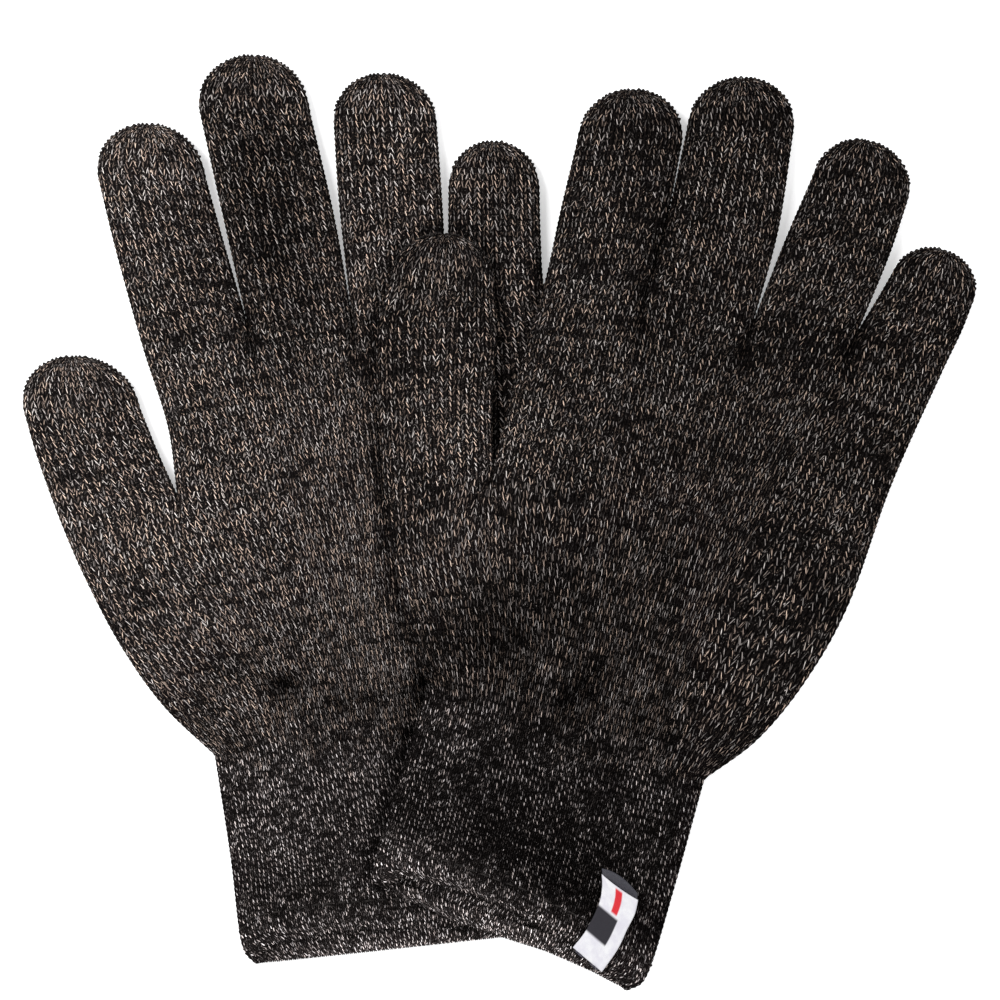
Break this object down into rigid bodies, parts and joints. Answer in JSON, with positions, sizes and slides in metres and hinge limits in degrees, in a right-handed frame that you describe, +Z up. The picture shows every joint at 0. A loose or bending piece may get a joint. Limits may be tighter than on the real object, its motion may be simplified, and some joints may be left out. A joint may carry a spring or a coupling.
{
  "type": "touchscreen gloves",
  "caption": "Pair of knitted stretch gloves with elastic cuffs, one lying partly across the other; every digit bends and the upper glove lifts off.",
  "frame": {"origin": "centre of the pair's bounding box, on the surface the gloves lie on", "axes": "+Z up off the surface, +Y towards the fingertips, +X towards the upper glove's little-finger side"},
  "size_m": [0.2366, 0.2334, 0.019],
  "materials": {
    "marled_knit": "heathered knit of dark yarn with metallic flecks",
    "cuff_knit": "the same knit, drawn tighter by its elastic",
    "elastic_yarn": "covered elastic yarn",
    "sewing_thread": "matt polyester thread",
    "label_ribbon": "white woven satin ribbon with a dark block and a red stripe",
    "label_backing": "dark back leaf of the folded ribbon",
    "label_thread": "pale thread"
  },
  "bodies": {
    "lower_glove": {"lower_hand": "marled_knit", "lower_cuff": "cuff_knit", "lower_cuff_elastic": "elastic_yarn", "lower_hem": "cuff_knit", "lower_hem_thread": "sewing_thread", "lower_ring_finger_base": "marled_knit", "lower_little_finger_base": "marled_knit"},
    "lower_thumb": {"lower_thumb": "marled_knit", "lower_thumb_tip_thread": "sewing_thread"},
    "lower_index_finger": {"lower_index_finger": "marled_knit", "lower_index_finger_tip_thread": "sewing_thread"},
    "lower_middle_finger": {"lower_middle_finger": "marled_knit", "lower_middle_finger_tip_thread": "sewing_thread"},
    "lower_ring_finger": {"lower_ring_finger": "marled_knit", "lower_ring_finger_tip_thread": "sewing_thread"},
    "lower_little_finger": {"lower_little_finger": "marled_knit", "lower_little_finger_tip_thread": "sewing_thread"},
    "upper_glove": {"upper_hand": "marled_knit", "upper_cuff": "cuff_knit", "upper_cuff_elastic": "elastic_yarn", "upper_hem": "cuff_knit", "upper_hem_thread": "sewing_thread", "label_stitches": "label_thread"},
    "upper_thumb": {"upper_thumb": "marled_knit", "upper_thumb_tip_thread": "sewing_thread"},
    "upper_index_finger": {"upper_index_finger": "marled_knit", "upper_index_finger_tip_thread": "sewing_thread"},
    "upper_middle_finger": {"upper_middle_finger": "marled_knit", "upper_middle_finger_tip_thread": "sewing_thread"},
    "upper_ring_finger": {"upper_ring_finger": "marled_knit", "upper_ring_finger_tip_thread": "sewing_thread"},
    "upper_little_finger": {"upper_little_finger": "marled_knit", "upper_little_finger_tip_thread": "sewing_thread"},
    "label": {"label_front_leaf": "label_ribbon", "label_back_leaf": "label_backing"}
  },
  "joints": [
    {"name": "lower_thumb_bend", "type": "hinge", "parent": "lower_glove", "child": "lower_thumb", "pos_m": [-0.09614, 0.00263, 0.0074], "axis": [0.9626, 0.2709, 0], "range_deg": [0, 90]},
    {"name": "lower_index_finger_bend", "type": "hinge", "parent": "lower_glove", "child": "lower_index_finger", "pos_m": [-0.07737, 0.04659, 0.0074], "axis": [0.9786, 0.2056, 0], "range_deg": [0, 90]},
    {"name": "lower_middle_finger_bend", "type": "hinge", "parent": "lower_glove", "child": "lower_middle_finger", "pos_m": [-0.05151, 0.05134, 0.0074], "axis": [0.9878, 0.1558, 0], "range_deg": [0, 90]},
    {"name": "lower_ring_finger_bend", "type": "hinge", "parent": "lower_glove", "child": "lower_ring_finger", "pos_m": [-0.02748, 0.07479, 0.0074], "axis": [1, 0, 0], "range_deg": [0, 90]},
    {"name": "lower_little_finger_bend", "type": "hinge", "parent": "lower_glove", "child": "lower_little_finger", "pos_m": [-0.002, 0.07479, 0.0074], "axis": [1, 0, 0], "range_deg": [0, 90]},
    {"name": "upper_thumb_bend", "type": "hinge", "parent": "upper_glove", "child": "upper_thumb", "pos_m": [-0.01537, 0.00779, 0.01756], "axis": [0.9474, 0.312, -0.0721], "range_deg": [0, 90]},
    {"name": "upper_index_finger_bend", "type": "hinge", "parent": "upper_glove", "child": "upper_index_finger", "pos_m": [0.02329, 0.05794, 0.01462], "axis": [0.985, -0.1552, -0.0749], "range_deg": [0, 90]},
    {"name": "upper_middle_finger_bend", "type": "hinge", "parent": "upper_glove", "child": "upper_middle_finger", "pos_m": [0.04982, 0.05319, 0.0126], "axis": [0.9779, -0.1954, -0.0744], "range_deg": [0, 90]},
    {"name": "upper_ring_finger_bend", "type": "hinge", "parent": "upper_glove", "child": "upper_ring_finger", "pos_m": [0.07621, 0.04783, 0.01059], "axis": [0.9767, -0.2012, -0.0743], "range_deg": [0, 90]},
    {"name": "upper_little_finger_bend", "type": "hinge", "parent": "upper_glove", "child": "upper_little_finger", "pos_m": [0.09962, 0.04117, 0.00881], "axis": [0.9324, -0.3545, -0.0709], "range_deg": [0, 90]},
    {"name": "upper_glove_lift", "type": "slide", "parent": "lower_glove", "child": "upper_glove", "axis": [0, 0, 1], "range_m": [0, 0.12]},
    {"name": "label_lift", "type": "hinge", "parent": "upper_glove", "child": "label", "pos_m": [0.02179, -0.10781, 0.01564], "axis": [0.9052, -0.4195, -0.0689], "range_deg": [0, 85]}
  ]
}
